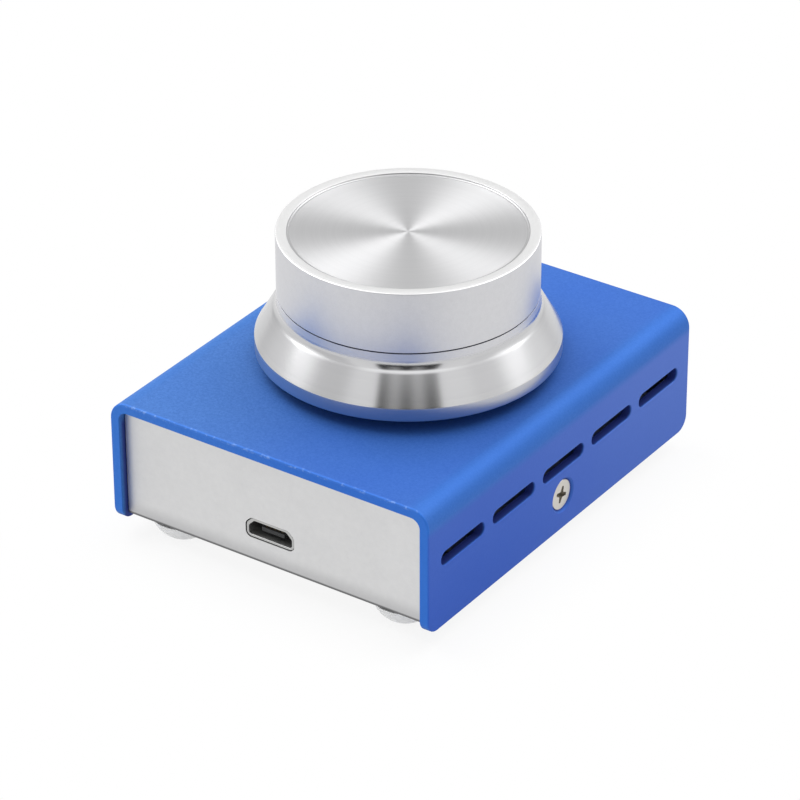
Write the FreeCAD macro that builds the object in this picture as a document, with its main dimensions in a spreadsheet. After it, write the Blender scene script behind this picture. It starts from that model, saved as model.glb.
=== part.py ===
import FreeCAD, Part
import math
import os

import Sketcher

# Desk volume control: a folded aluminium cover over a folded chassis, a circuit board with a
# rotary encoder and a small serial-bus socket inside, and a heavy turned knob on top.
# Lengths are in millimetres. Z is up, the socket faces -Y, and the origin lies on the resting
# plane of the four feet, under the middle of the case. The knob's axis stands just beside it.

SIZES = {
    # Cover: an inverted channel of sheet aluminium with vent slots in both side walls
    "cover_width": 52.0,
    "cover_length": 65.0,
    "cover_sheet": 1.4,
    "cover_bend": 2.8,
    "cover_corner": 2.2,
    "cover_edge": 0.25,
    "slot_edge": 0.15,
    "cover_overhang": 0.65,
    "slot_margin": 3.0,
    "slot_bridge": 2.0,
    "slot_width": 2.1,
    "slot_height": 10.35,
    "screw_height": 5.3,
    "countersink_radius": 2.65,
    "screw_hole_radius": 1.4,
    # Chassis: a tray with a panel at each end and a flange along each side
    "chassis_sheet": 1.2,
    "chassis_gap": 0.15,
    "panel_recess": 1.25,
    "panel_corner": 1.5,
    "flange_height": 8.0,
    "flange_gap": 5.0,
    "fold_radius": 0.6,
    "fold_inner_radius": 0.4,
    "window_gap": 0.1,
    # Feet: clear half-round bumpers, flat where they stand
    "foot_radius": 4.55,
    "foot_height": 3.2,
    "foot_flat_radius": 1.7,
    "foot_side_inset": 6.05,
    "foot_end_inset": 4.6,
    # Fasteners: countersunk side screws in clinch nuts, pan head board screws in standoffs
    "thread_radius": 1.25,
    "thread_gap": 0.05,
    "cover_screw_length": 5.0,
    "cover_screw_sink": 0.3,
    "screw_head_rim": 0.1,
    "screw_tip": 0.3,
    "clinch_floor_gap": 0.6,
    "clinch_height": 1.5,
    "clinch_collar_radius": 2.1,
    "clinch_edge": 0.25,
    "standoff_radius": 2.5,
    "standoff_shank_radius": 1.9,
    "standoff_height": 5.45,
    "seat_gap": 0.05,
    "board_screw_head_radius": 2.25,
    "board_screw_head_height": 1.5,
    "board_screw_length": 6.0,
    "board_screw_edge": 0.35,
    "board_hole_radius": 1.45,
    "cross_length": 2.5,
    "cross_width": 0.75,
    "cross_tip_width": 0.4,
    "cross_depth": 0.9,
    # Circuit board
    "board_side_gap": 5.25,
    "board_front_gap": 0.45,
    "board_rear": 18.0,
    "board_hole_inset": 3.2,
    "board_thickness": 1.6,
    "board_corner": 1.5,
    "pin_hole_radius": 0.6,
    "leg_slot_length": 2.5,
    "leg_slot_width": 1.0,
    # Micro socket under the board's front edge, with a small rolled lip at its mouth
    "socket_side": 0.5,
    "socket_width": 7.1,
    "socket_opening": 2.2,
    "socket_bevel": 0.9,
    "socket_bend": 0.45,
    "socket_wall": 0.25,
    "socket_depth": 5.2,
    "socket_sink": 0.1,
    "socket_flare": 0.05,
    "socket_lip": 0.1,
    "socket_lip_depth": 0.35,
    "socket_flap_width": 1.1,
    "socket_flap_length": 1.6,
    "insulator_gap": 0.03,
    "insulator_depth": 1.2,
    "tongue_width": 3.7,
    "tongue_thickness": 0.6,
    "tongue_length": 3.3,
    "tongue_drop": 0.45,
    "contact_width": 0.3,
    "contact_thickness": 0.12,
    "contact_pitch": 0.65,
    "contact_margin": 0.35,
    "channel_gap": 0.04,
    # Board parts: controller, crystal, regulator, capacitors and resistors
    "chip_length": 7.2,
    "chip_width": 5.3,
    "chip_height": 1.55,
    "chip_lift": 0.12,
    "chip_bevel": 0.3,
    "chip_dot_radius": 0.35,
    "chip_dot_depth": 0.1,
    "lead_pitch": 0.65,
    "lead_width": 0.25,
    "lead_thickness": 0.14,
    "lead_reach": 1.15,
    "lead_shoulder": 0.45,
    "crystal_length": 11.2,
    "crystal_width": 4.6,
    "crystal_height": 3.4,
    "crystal_rim": 0.3,
    "crystal_rim_height": 0.4,
    "regulator_length": 4.5,
    "regulator_width": 2.5,
    "regulator_height": 1.5,
    "regulator_bevel": 0.25,
    "regulator_lead_length": 0.9,
    "regulator_lead_width": 0.45,
    "regulator_lead_pitch": 1.5,
    "regulator_tab_width": 1.7,
    "can_radius": 2.5,
    "can_height": 4.6,
    "can_edge": 0.35,
    "can_base_width": 5.4,
    "can_base_height": 0.8,
    "can_base_corner": 0.9,
    "chip_part_length": 1.6,
    "chip_part_width": 0.8,
    "capacitor_height": 0.8,
    "resistor_height": 0.45,
    "chip_part_pitch": 1.8,
    # Encoder: its axis beside the case's middle, base, housing with threaded bushing, steel
    # frame, code wheel and shaft
    "axis_right": 0.4,
    "axis_behind": 0.27,
    "encoder_width": 11.7,
    "encoder_length": 12.0,
    "encoder_height": 7.0,
    "encoder_base_height": 2.4,
    "encoder_well_radius": 3.6,
    "encoder_well_floor": 0.6,
    "frame_sheet": 0.6,
    "frame_leg_width": 2.1,
    "pin_reach": 1.1,
    "pin_tail": 1.1,
    "pin_width": 0.8,
    "pin_thickness": 0.3,
    "pin_height": 0.6,
    "pin_pitch": 2.5,
    "bushing_wall": 0.45,
    "bushing_length": 7.0,
    "bushing_edge": 0.3,
    "bushing_gap": 0.05,
    "housing_roof": 0.95,
    "housing_wall": 0.55,
    "shaft_radius": 3.0,
    "shaft_gap": 0.04,
    "shaft_length": 15.0,
    "shaft_edge": 0.5,
    "shaft_flat": 1.5,
    "shaft_flat_length": 7.5,
    "shaft_drive_flat": 0.7,
    "ring_groove_depth": 0.55,
    "ring_clearance": 0.3,
    "ring_thickness": 0.35,
    "ring_mouth": 3.2,
    "ring_play": 0.05,
    "wheel_gap": 0.2,
    "wheel_play": 0.05,
    "wheel_height": 2.05,
    "wheel_track_height": 0.4,
    "wheel_track_width": 1.0,
    "wheel_notch_width": 0.6,
    "wheel_notch_depth": 0.25,
    "detent_thickness": 0.15,
    "detent_width": 0.9,
    "detent_bump_radius": 0.4,
    "detent_bump_tip": 0.15,
    "detent_clearance": 0.05,
    "wiper_bay_length": 5.0,
    "wiper_bay_width": 1.4,
    "wiper_bay_depth": 0.35,
    "wiper_length": 4.0,
    "wiper_width": 0.25,
    "wiper_thickness": 0.12,
    "wiper_pitch": 0.45,
    "press_travel": 0.5,
    "press_play": 0.05,
    "dome_radius": 2.9,
    "dome_height": 0.55,
    "dome_thickness": 0.1,
    "plate_thickness": 0.15,
    "centre_plate_radius": 0.8,
    "ring_plate_width": 0.6,
    # What clamps the encoder to the cover
    "spacer_thickness": 1.7,
    "bushing_clearance": 0.2,
    "washer_rim": 0.25,
    "washer_thickness": 0.5,
    "nut_wall": 1.55,
    "nut_height": 2.0,
    # Knob and its pressed insert
    "knob_radius": 18.0,
    "knob_height": 17.7,
    "knob_gap": 1.7,
    "knob_flare": 3.1,
    "knob_band_height": 1.95,
    "knob_step": 0.75,
    "knob_cone_height": 5.95,
    "knob_hollow": 1.7,
    "knob_line_height": 8.7,
    "knob_line_width": 0.2,
    "knob_line_depth": 0.2,
    "knob_rim_width": 1.6,
    "knob_rim_edge": 0.2,
    "knob_lip": 0.15,
    "dish_depth": 0.12,
    "knob_recess_gap": 3.2,
    "knob_recess_room": 0.5,
    "insert_wall": 1.5,
    "insert_cap": 0.8,
    "insert_gap": 0.02,
    "insert_room": 0.3,
    "insert_neck": 0.3,
    "overrun": 1.0,
}

SLOT_COUNT = 5
CONTACT_COUNT = 5
LEADS_PER_SIDE = 10
DETENT_COUNT = 20
CHIP_PARTS_PER_ROW = 5
FULL_TURN = 360
QUARTER_TURN = 90
CROSS_TURN = -20
NUT_SIDES = 6
DIAGONAL = math.sqrt(0.5)
HALF_BEND = math.tan(math.pi / 8)

# Where the board's parts stand, as shares of its half width and of its length before or
# behind the case's middle

FRONT_HOLE_share = 0.71
REAR_HOLE_share = 0.8
CHIP_shares = (-0.5, -0.5)
CRYSTAL_shares = (0.48, -0.475)
REGULATOR_shares = (0.48, 0.6)
CAN_shares = (-0.52, 0.51)
CAPACITOR_ROW_share = -0.75
RESISTOR_ROW_share = 0.75

os.makedirs("parts", exist_ok=True)
doc = FreeCAD.newDocument("VolumeKnob")
sheet = doc.addObject("Spreadsheet::Sheet", "Sizes")
for row, (alias, amount) in enumerate(SIZES.items(), start=1):
    sheet.set("A%d" % row, alias.replace("_", " "))
    sheet.set("B%d" % row, str(amount))
    sheet.setAlias("B%d" % row, alias)
doc.recompute()


class Size:
    """A length: its value, and the formula over the sheet's cells that keeps it current."""

    def __init__(self, value, formula):
        self.value = value
        self.formula = formula

    def __add__(self, other):
        other = as_size(other)
        return Size(self.value + other.value, "(%s + %s)" % (self.formula, other.formula))

    def __sub__(self, other):
        other = as_size(other)
        return Size(self.value - other.value, "(%s - %s)" % (self.formula, other.formula))

    def __mul__(self, other):
        other = as_size(other)
        return Size(self.value * other.value, "(%s * %s)" % (self.formula, other.formula))

    def __truediv__(self, other):
        other = as_size(other)
        return Size(self.value / other.value, "(%s / %s)" % (self.formula, other.formula))

    def __neg__(self):
        return Size(-self.value, "(0 - %s)" % self.formula)

    __rmul__ = __mul__


def as_size(amount):
    """Take a plain factor or zero as it stands, and leave a length alone."""
    if isinstance(amount, Size):
        return amount
    return Size(float(amount), "(%.12g)" % amount)


def root(amount):
    """Square root of an area, as a length."""
    return Size(math.sqrt(amount.value), "sqrt(%s)" % amount.formula)


class Cells:
    """Each cell of the sheet as an attribute with a length in it."""

    def __init__(self):
        for alias in SIZES:
            setattr(self, alias, Size(sheet.get(alias), "Sizes.%s" % alias))


size = Cells()
nodes = []


def keep(piece, label):
    """Count a finished piece as one node of the assembly."""
    piece.Label = label
    nodes.append(piece)
    return piece


def bind(thing, place, amount):
    """Tie a property to the sheet."""
    thing.setExpression(place, as_size(amount).formula)


def put(thing, x=0, y=0, z=0, axis=(0, 0, 1), angle=0):
    """Turn a piece and set it down at a point bound to the sheet."""
    turn = FreeCAD.Rotation(FreeCAD.Vector(*axis), angle)
    thing.Placement = FreeCAD.Placement(FreeCAD.Vector(), turn)
    for letter, amount in zip("xyz", (x, y, z)):
        bind(thing, "Placement.Base." + letter, amount)
    return thing


class Drawing:
    """A sketch on one of a body's own origin planes, pinned to the sheet point by point."""

    def __init__(self, body, name, plane, across=0, up=0, out=0):
        self.sketch = body.newObject("Sketcher::SketchObject", name)
        support = [item for item in body.Origin.OriginFeatures if item.Role == plane][0]
        self.sketch.AttachmentSupport = [(support, "")]
        self.sketch.MapMode = "FlatFace"
        for letter, amount in zip("xyz", (across, up, out)):
            bind(self.sketch, "AttachmentOffset.Base." + letter, amount)

    def limit(self, kind, geometry, end, amount):
        """Hold one coordinate of a point, or a radius, to a length of the sheet."""
        amount = as_size(amount)
        if kind == "Radius":
            rule = Sketcher.Constraint(kind, geometry, amount.value)
        else:
            rule = Sketcher.Constraint(kind, -1, 1, geometry, end, amount.value)
        number = self.sketch.addConstraint(rule)
        self.sketch.setExpression("Constraints[%d]" % number, amount.formula)

    def pin(self, geometry, end, x, y):
        self.limit("DistanceX", geometry, end, x)
        self.limit("DistanceY", geometry, end, y)

    def outline(self, *steps):
        """Draw a closed outline. A step is a corner (x, y), or a corner with the centre of the
        arc that leaves it and the way that arc turns, (x, y, (centre x, centre y, turn))."""
        corners = [(as_size(step[0]), as_size(step[1])) for step in steps]
        ends = []
        for number, step in enumerate(steps):
            start = corners[number]
            stop = corners[(number + 1) % len(corners)]
            if len(step) == 2:
                line = Part.LineSegment(vector(start), vector(stop))
                ends.append((self.sketch.addGeometry(line, False), 1, 2))
            else:
                ends.append(self.arc(start, stop, step[2]))
        for number, (geometry, first, last) in enumerate(ends):
            after = ends[(number + 1) % len(ends)]
            joint = Sketcher.Constraint("Coincident", geometry, last, after[0], after[1])
            self.sketch.addConstraint(joint)
            self.pin(geometry, first, *corners[number])
        for number, step in enumerate(steps):
            if len(step) == 3:
                self.centre(ends[number][0], corners[number], corners[(number + 1) % len(corners)], step[2])
        return self

    def arc(self, start, stop, bend):
        """Add the arc between two corners and say which of its ends comes first."""
        middle = vector((as_size(bend[0]), as_size(bend[1])))
        first = vector(start) - middle
        last = vector(stop) - middle
        if bend[2] < 0:
            first, last = last, first
        circle = Part.Circle(middle, FreeCAD.Vector(0, 0, 1), first.Length)
        begin = math.atan2(first.y, first.x)
        finish = math.atan2(last.y, last.x)
        if finish <= begin:
            finish += 2 * math.pi
        geometry = self.sketch.addGeometry(Part.ArcOfCircle(circle, begin, finish), False)
        if bend[2] < 0:
            return geometry, 2, 1
        return geometry, 1, 2

    def centre(self, geometry, start, stop, bend):
        """Pin the one coordinate of an arc's centre that its two ends leave free."""
        wide = abs(stop[0].value - start[0].value)
        tall = abs(stop[1].value - start[1].value)
        if wide > tall:
            self.limit("DistanceY", geometry, 3, bend[1])
        else:
            self.limit("DistanceX", geometry, 3, bend[0])

    def circle(self, radius, x=0, y=0):
        radius = as_size(radius)
        middle = vector((as_size(x), as_size(y)))
        circle = Part.Circle(middle, FreeCAD.Vector(0, 0, 1), radius.value)
        geometry = self.sketch.addGeometry(circle, False)
        self.limit("Radius", geometry, 0, radius)
        self.pin(geometry, 3, x, y)
        return self

    def rectangle(self, left, right, low, high):
        return self.outline((left, low), (right, low), (right, high), (left, high))


def vector(pair):
    return FreeCAD.Vector(pair[0].value, pair[1].value, 0)


def new_body(name):
    return doc.addObject("PartDesign::Body", name)


def add(body, kind, name, drawing, **settings):
    """Add a feature made from a sketch; lengths among its settings are bound to the sheet."""
    feature = body.newObject("PartDesign::" + kind, name)
    feature.Profile = drawing.sketch
    for key, amount in settings.items():
        if isinstance(amount, Size):
            bind(feature, key, amount)
        else:
            setattr(feature, key, amount)
    return feature


def pad(body, name, drawing, length, **settings):
    return add(body, "Pad", name, drawing, Length=length, **settings)


def turned(body, name, drawing, **settings):
    """Turn a profile about the upright axis of its sketch."""
    return add(body, "Revolution", name, drawing, ReferenceAxis=(drawing.sketch, ["V_Axis"]), **settings)


def removal(body, kind, name, drawing, **settings):
    """Cut material away and make sure that some was there."""
    doc.recompute()
    before = body.Shape.Volume
    feature = add(body, kind, name, drawing, **settings)
    doc.recompute()
    if not body.Shape.Volume < before:
        raise ValueError("%s removes nothing" % name)
    return feature


def pocket(body, name, drawing, length=None, **settings):
    """Cut against the sketch's normal over a length, or both ways right through."""
    if length is None:
        return removal(body, "Pocket", name, drawing, Type="ThroughAll", SideType="Symmetric", **settings)
    return removal(body, "Pocket", name, drawing, Length=length, **settings)


def dress(body, kind, name, amount, chosen):
    """Round or bevel the edges that a test picks out."""
    doc.recompute()
    base = body.Tip
    edges = ["Edge%d" % number for number, edge in enumerate(base.Shape.Edges, start=1) if chosen(edge)]
    if not edges:
        raise ValueError("%s finds no edge" % name)
    feature = body.newObject("PartDesign::" + kind, name)
    feature.Base = (base, edges)
    bind(feature, "Radius" if kind == "Fillet" else "Size", amount)
    return feature


def close(first, second):
    return abs(first - second) < Part.Precision.confusion() * 100


def line_along(edge, axis):
    """Say whether an edge is straight and runs along one axis."""
    if edge.Curve.TypeId != "Part::GeomLine":
        return False
    spans = [edge.BoundBox.XLength, edge.BoundBox.YLength, edge.BoundBox.ZLength]
    across = [span for letter, span in zip("xyz", spans) if letter != axis]
    return max(across) < Part.Precision.confusion() * 100


def at_level(level):
    """Pick the edges that lie in one level plane."""
    return lambda edge: close(edge.BoundBox.ZMin, level.value) and close(edge.BoundBox.ZMax, level.value)


def box(name, lengths, corner):
    piece = doc.addObject("Part::Box", name)
    for key, amount in zip(("Length", "Width", "Height"), lengths):
        bind(piece, key, amount)
    return put(piece, *corner)


def cylinder(name, radius, height, base):
    piece = doc.addObject("Part::Cylinder", name)
    bind(piece, "Radius", radius)
    bind(piece, "Height", height)
    return put(piece, *base)


def cut(name, base, tool):
    piece = doc.addObject("Part::Cut", name)
    piece.Base = base
    piece.Tool = tool
    return piece


def fuse(name, pieces):
    piece = doc.addObject("Part::MultiFuse", name)
    piece.Shapes = pieces
    return piece


def group(name, pieces):
    """Hold like pieces together as separate solids of one node."""
    piece = doc.addObject("Part::Compound", name)
    piece.Links = pieces
    return piece


def tube(name, outer, inner, height, base):
    """A plain ring cut from round bar."""
    body = new_body(name)
    ring = Drawing(body, name + "_ring", "XY_Plane").circle(outer).circle(inner)
    pad(body, name + "_pad", ring, height)
    return put(body, *base)


# Levels and faces that several pieces share

cover_bottom = size.foot_height - size.cover_overhang
floor_top = size.foot_height + size.chassis_sheet
board_bottom = floor_top + size.standoff_height
board_top = board_bottom + size.board_thickness
encoder_face = board_top + size.encoder_height
cover_ceiling = encoder_face + size.spacer_thickness
cover_top = cover_ceiling + size.cover_sheet
cover_face = size.cover_width / 2
cover_wall = cover_face - size.cover_sheet
cover_end = size.cover_length / 2
cover_screw_z = cover_bottom + size.screw_height
chassis_face = cover_wall - size.chassis_gap
chassis_wall = chassis_face - size.chassis_sheet
panel_face = cover_end - size.panel_recess
panel_back = panel_face - size.chassis_sheet
panel_top = cover_ceiling - size.chassis_gap
foot_x = chassis_face - size.foot_side_inset
foot_y = panel_face - size.foot_end_inset
board_half = chassis_wall - size.board_side_gap
board_front = panel_back - size.board_front_gap
socket_x = -size.socket_side
socket_z = board_bottom - size.socket_wall - size.socket_opening / 2
socket_front = panel_face - size.socket_sink
axis_x = size.axis_right
axis_y = size.axis_behind
encoder_base_top = board_top + size.encoder_base_height
frame_bottom = encoder_face - size.frame_sheet
bushing_top = encoder_face + size.bushing_length
shaft_top = encoder_face + size.shaft_length
bushing_radius = size.shaft_radius + size.bushing_wall
housing_bore = size.encoder_width / 2 - size.housing_wall
housing_ceiling = frame_bottom - size.housing_roof
wheel_radius = housing_bore - size.wheel_gap
track_in = wheel_radius - size.wheel_track_width
well_floor = board_top + size.encoder_well_floor
plate_top = well_floor + size.plate_thickness
dome_top = plate_top + size.dome_height
shaft_bottom = dome_top + size.press_play
knob_bottom = cover_top + size.knob_gap
knob_recess_top = bushing_top + size.press_travel + size.knob_recess_room
nut_width = 2 * (bushing_radius + size.nut_wall)
nut_corner = nut_width / math.sqrt(3)
clinch_radius = cover_screw_z - floor_top - size.clinch_floor_gap


# Cover: one folded sheet, blasted and anodised, rounded along both bends and at its lower corners

cover = new_body("top_cover")
channel = Drawing(cover, "cover_profile", "XZ_Plane")
bend_x = cover_face - size.cover_bend
bend_z = cover_top - size.cover_bend
channel.outline(
    (-cover_face, cover_bottom),
    (-cover_face, bend_z, (-bend_x, bend_z, -1)),
    (-bend_x, cover_top),
    (bend_x, cover_top, (bend_x, bend_z, -1)),
    (cover_face, bend_z),
    (cover_face, cover_bottom),
    (cover_wall, cover_bottom),
    (cover_wall, bend_z, (bend_x, bend_z, 1)),
    (bend_x, cover_ceiling),
    (-bend_x, cover_ceiling, (-bend_x, bend_z, 1)),
    (-cover_wall, bend_z),
    (-cover_wall, cover_bottom),
)
pad(cover, "cover_sheet_pad", channel, size.cover_length, SideType="Symmetric")


def at_lower_corner(edge):
    middle = edge.BoundBox.Center
    at_end = close(abs(middle.y), cover_end.value)
    return line_along(edge, "x") and at_end and close(middle.z, cover_bottom.value)


dress(cover, "Fillet", "cover_corners", size.cover_corner, at_lower_corner)


def on_outer_skin(edge):
    """Pick the long outline of each open end, on the side that shows."""
    box = edge.BoundBox
    at_end = close(box.YMin, box.YMax) and close(abs(box.YMax), cover_end.value)
    reach = max(abs(box.XMin), abs(box.XMax))
    side = close(reach, cover_face.value)
    return at_end and (side or close(box.ZMax, cover_top.value))


dress(cover, "Fillet", "cover_end_edges", size.cover_edge, on_outer_skin)

slot_z = cover_bottom + size.slot_height
slot_bridges = size.slot_bridge * (SLOT_COUNT - 1)
slot_length = (size.cover_length - 2 * size.slot_margin - slot_bridges) / SLOT_COUNT
slot_row = (slot_length + size.slot_bridge) * (SLOT_COUNT - 1)
slot_end = slot_length / 2 - size.slot_width / 2
slot_half = size.slot_width / 2
slot_first = -slot_row / 2
slot = Drawing(cover, "slot_outline", "YZ_Plane", across=slot_first, up=slot_z)
slot.outline(
    (-slot_end, -slot_half),
    (slot_end, -slot_half, (slot_end, 0, 1)),
    (slot_end, slot_half),
    (-slot_end, slot_half, (-slot_end, 0, 1)),
)
first_slot = pocket(cover, "first_slot", slot)
slots = cover.newObject("PartDesign::LinearPattern", "slots")
slots.Originals = [first_slot]
slots.Direction = ([item for item in cover.Origin.OriginFeatures if item.Role == "Y_Axis"][0], [""])
bind(slots, "Length", slot_row)
slots.Occurrences = SLOT_COUNT
cover.Tip = slots


def at_slot_rim(edge):
    box = edge.BoundBox
    at_side = close(box.XMin, box.XMax) and close(abs(box.XMax), cover_face.value)
    return at_side and box.ZMin > (slot_z - slot_half).value - Part.Precision.confusion()


dress(cover, "Fillet", "slot_edges", size.slot_edge, at_slot_rim)

sink_depth = size.countersink_radius - size.screw_hole_radius
sinks = Drawing(cover, "countersinks", "XZ_Plane", up=cover_screw_z)
for side in (1, -1):
    sinks.outline(
        (side * (cover_wall - size.overrun), 0),
        (side * (cover_wall - size.overrun), size.screw_hole_radius),
        (side * (cover_face - sink_depth), size.screw_hole_radius),
        (side * (cover_face + size.overrun), size.countersink_radius + size.overrun),
        (side * (cover_face + size.overrun), 0),
    )
removal(cover, "Groove", "side_screw_holes", sinks, ReferenceAxis=(sinks.sketch, ["H_Axis"]))

bushing_hole = bushing_radius + size.bushing_clearance
opening = Drawing(cover, "bushing_opening", "XY_Plane").circle(bushing_hole, axis_x, axis_y)
pocket(cover, "bushing_hole", opening)
keep(cover, "top_cover")


# Chassis: floor, two end panels, two side flanges, folded from bright sheet

chassis = new_body("base_chassis")
floor = Drawing(chassis, "floor_outline", "XY_Plane", out=size.foot_height)
floor.rectangle(-chassis_face, chassis_face, -panel_face, panel_face)
pad(chassis, "floor_pad", floor, size.chassis_sheet)
panels = Drawing(chassis, "panel_outlines", "XY_Plane", out=size.foot_height)
panels.rectangle(-chassis_face, chassis_face, -panel_face, -panel_back)
panels.rectangle(-chassis_face, chassis_face, panel_back, panel_face)
pad(chassis, "panel_pads", panels, panel_top - size.foot_height)
flanges = Drawing(chassis, "flange_outlines", "XY_Plane", out=size.foot_height)
flange_end = panel_back - size.flange_gap
flanges.rectangle(chassis_wall, chassis_face, -flange_end, flange_end)
flanges.rectangle(-chassis_face, -chassis_wall, -flange_end, flange_end)
pad(chassis, "flange_pads", flanges, size.flange_height)


def at_panel_corner(edge):
    middle = edge.BoundBox.Center
    at_side = close(abs(middle.x), chassis_face.value)
    return line_along(edge, "y") and at_side and close(middle.z, panel_top.value)


def at_outer_fold(edge):
    middle = edge.BoundBox.Center
    at_face = close(abs(middle.y), panel_face.value)
    return line_along(edge, "x") and at_face and close(middle.z, size.foot_height.value)


def at_inner_fold(edge):
    middle = edge.BoundBox.Center
    at_back = close(abs(middle.y), panel_back.value)
    return line_along(edge, "x") and at_back and close(middle.z, floor_top.value)


dress(chassis, "Fillet", "panel_corners", size.panel_corner, at_panel_corner)
dress(chassis, "Fillet", "outer_folds", size.fold_radius, at_outer_fold)
dress(chassis, "Fillet", "inner_folds", size.fold_inner_radius, at_inner_fold)


def socket_outline(drawing, rise):
    """Outline of the socket, rise outside its opening: wide below, with both upper corners cut
    off, and all its corners bent round."""
    half = size.socket_width / 2 + rise
    top = size.socket_opening / 2 + rise
    bend = size.socket_bend + rise
    cut_x = half - size.socket_bevel
    cut_z = top - size.socket_bevel
    run = bend * HALF_BEND
    step = run * DIAGONAL
    return drawing.outline(
        (bend - half, -top),
        (half - bend, -top, (half - bend, bend - top, 1)),
        (half, bend - top),
        (half, cut_z - run, (half - bend, cut_z - run, 1)),
        (half - step, cut_z + step),
        (cut_x + step, top - step, (cut_x - run, top - bend, 1)),
        (cut_x - run, top),
        (run - cut_x, top, (run - cut_x, top - bend, 1)),
        (-cut_x - step, top - step),
        (step - half, cut_z + step, (bend - half, cut_z - run, 1)),
        (-half, cut_z - run),
        (-half, bend - top, (bend - half, bend - top, 1)),
    )


window = Drawing(
    chassis,
    "window_outline",
    "XZ_Plane",
    across=socket_x,
    up=socket_z,
    out=panel_face + size.overrun,
)
lip_rise = size.socket_wall + size.socket_lip
socket_outline(window, lip_rise + size.window_gap)
pocket(chassis, "socket_window", window, size.chassis_sheet + 2 * size.overrun)

hole_x = board_half - size.board_hole_inset
standoff_places = []
for side in (-1, 1):
    standoff_places.append((side * hole_x, -FRONT_HOLE_share * board_front))
    standoff_places.append((side * hole_x, REAR_HOLE_share * size.board_rear))
shank_holes = Drawing(chassis, "shank_holes", "XY_Plane")
for x, y in standoff_places:
    shank_holes.circle(size.standoff_shank_radius + size.seat_gap, x, y)
pocket(chassis, "standoff_holes", shank_holes)
clinch_holes = Drawing(chassis, "clinch_holes", "YZ_Plane")
clinch_holes.circle(size.clinch_collar_radius + size.seat_gap, 0, cover_screw_z)
pocket(chassis, "flange_holes", clinch_holes)
keep(chassis, "base_chassis")


# Feet: soft clear bumpers stuck under the floor near its corners

dome_centre = (
    size.foot_radius * size.foot_radius
    + size.foot_height * size.foot_height
    - size.foot_flat_radius * size.foot_flat_radius
) / (2 * size.foot_height)


def foot(label, x, y):
    body = new_body(label)
    half = Drawing(body, label + "_profile", "XZ_Plane")
    half.outline(
        (0, 0),
        (size.foot_flat_radius, 0, (0, dome_centre, 1)),
        (size.foot_radius, size.foot_height),
        (0, size.foot_height),
    )
    turned(body, label + "_turned", half)
    keep(put(body, x, y), label)


for end, way in (("front", -1), ("rear", 1)):
    for hand, side in (("left", -1), ("right", 1)):
        foot("foot_%s_%s" % (end, hand), side * foot_x, way * foot_y)


# Screws: a turned blank with a cross recess in its head; the head's top lies at zero height


def screw(label, head_radius, rim, head_height, length, edge):
    body = new_body(label)
    half = Drawing(body, label + "_profile", "XZ_Plane")
    half.outline(
        (0, 0),
        (0, -length),
        (size.thread_radius - size.screw_tip, -length),
        (size.thread_radius, size.screw_tip - length),
        (size.thread_radius, -head_height),
        (head_radius, -rim),
        (head_radius, -edge),
        (head_radius - edge, 0),
    )
    turned(body, label + "_turned", half)
    long_half = size.cross_length / 2
    wide_half = size.cross_width / 2
    tip_half = size.cross_tip_width / 2
    corners = []
    for quarter in range(4):
        angle = math.radians(CROSS_TURN + quarter * QUARTER_TURN)
        for x, y in ((long_half, -tip_half), (long_half, tip_half), (wide_half, wide_half)):
            across = x * math.cos(angle) - y * math.sin(angle)
            corners.append((across, x * math.sin(angle) + y * math.cos(angle)))
    cross = Drawing(body, label + "_cross", "XY_Plane").outline(*corners)
    pocket(body, label + "_recess", cross, size.cross_depth)
    return body


# Side screws hold the cover to clinch nuts in the chassis flanges

head_radius = size.countersink_radius - size.cover_screw_sink - size.screw_head_rim - size.seat_gap
for hand, side in (("left", -1), ("right", 1)):
    label = "cover_screw_" + hand
    body = screw(
        label,
        head_radius,
        size.screw_head_rim,
        head_radius - size.thread_radius + size.screw_head_rim,
        size.cover_screw_length,
        size.screw_head_rim / 2,
    )
    reach = side * (cover_face - size.cover_screw_sink)
    keep(put(body, reach, 0, cover_screw_z, (0, 1, 0), side * QUARTER_TURN), label)

for hand, side in (("left", -1), ("right", 1)):
    label = "cover_nut_" + hand
    body = new_body(label)
    nut_bore = size.thread_radius + size.thread_gap
    half = Drawing(body, label + "_profile", "XZ_Plane")
    half.outline(
        (nut_bore, size.chassis_sheet),
        (nut_bore, -size.clinch_height),
        (clinch_radius - size.clinch_edge, -size.clinch_height),
        (clinch_radius, size.clinch_edge - size.clinch_height),
        (clinch_radius, 0),
        (size.clinch_collar_radius, 0),
        (size.clinch_collar_radius, size.chassis_sheet),
    )
    turned(body, label + "_turned", half)
    keep(put(body, side * chassis_wall, 0, cover_screw_z, (0, 1, 0), side * QUARTER_TURN), label)


# Standoffs: pressed into the floor, tapped for the board screws

standoffs = []
for number, (x, y) in enumerate(standoff_places, start=1):
    name = "standoff_%d" % number
    body = new_body(name)
    bore = size.thread_radius + size.thread_gap
    half = Drawing(body, name + "_profile", "XZ_Plane")
    half.outline(
        (bore, size.foot_height),
        (size.standoff_shank_radius, size.foot_height),
        (size.standoff_shank_radius, floor_top),
        (size.standoff_radius, floor_top),
        (size.standoff_radius, board_bottom),
        (bore, board_bottom),
    )
    turned(body, name + "_turned", half)
    standoffs.append(put(body, x, y))
keep(group("board_standoffs", standoffs), "board_standoffs")

board_screws = []
for number, (x, y) in enumerate(standoff_places, start=1):
    body = screw(
        "board_screw_%d" % number,
        size.board_screw_head_radius,
        size.board_screw_head_height,
        size.board_screw_head_height,
        size.board_screw_length + size.board_screw_head_height,
        size.board_screw_edge,
    )
    board_screws.append(put(body, x, y, board_top + size.board_screw_head_height))
keep(group("board_screws", board_screws), "board_screws")


# Circuit board: drilled for its screws, the encoder's pins and the legs of its steel frame

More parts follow.
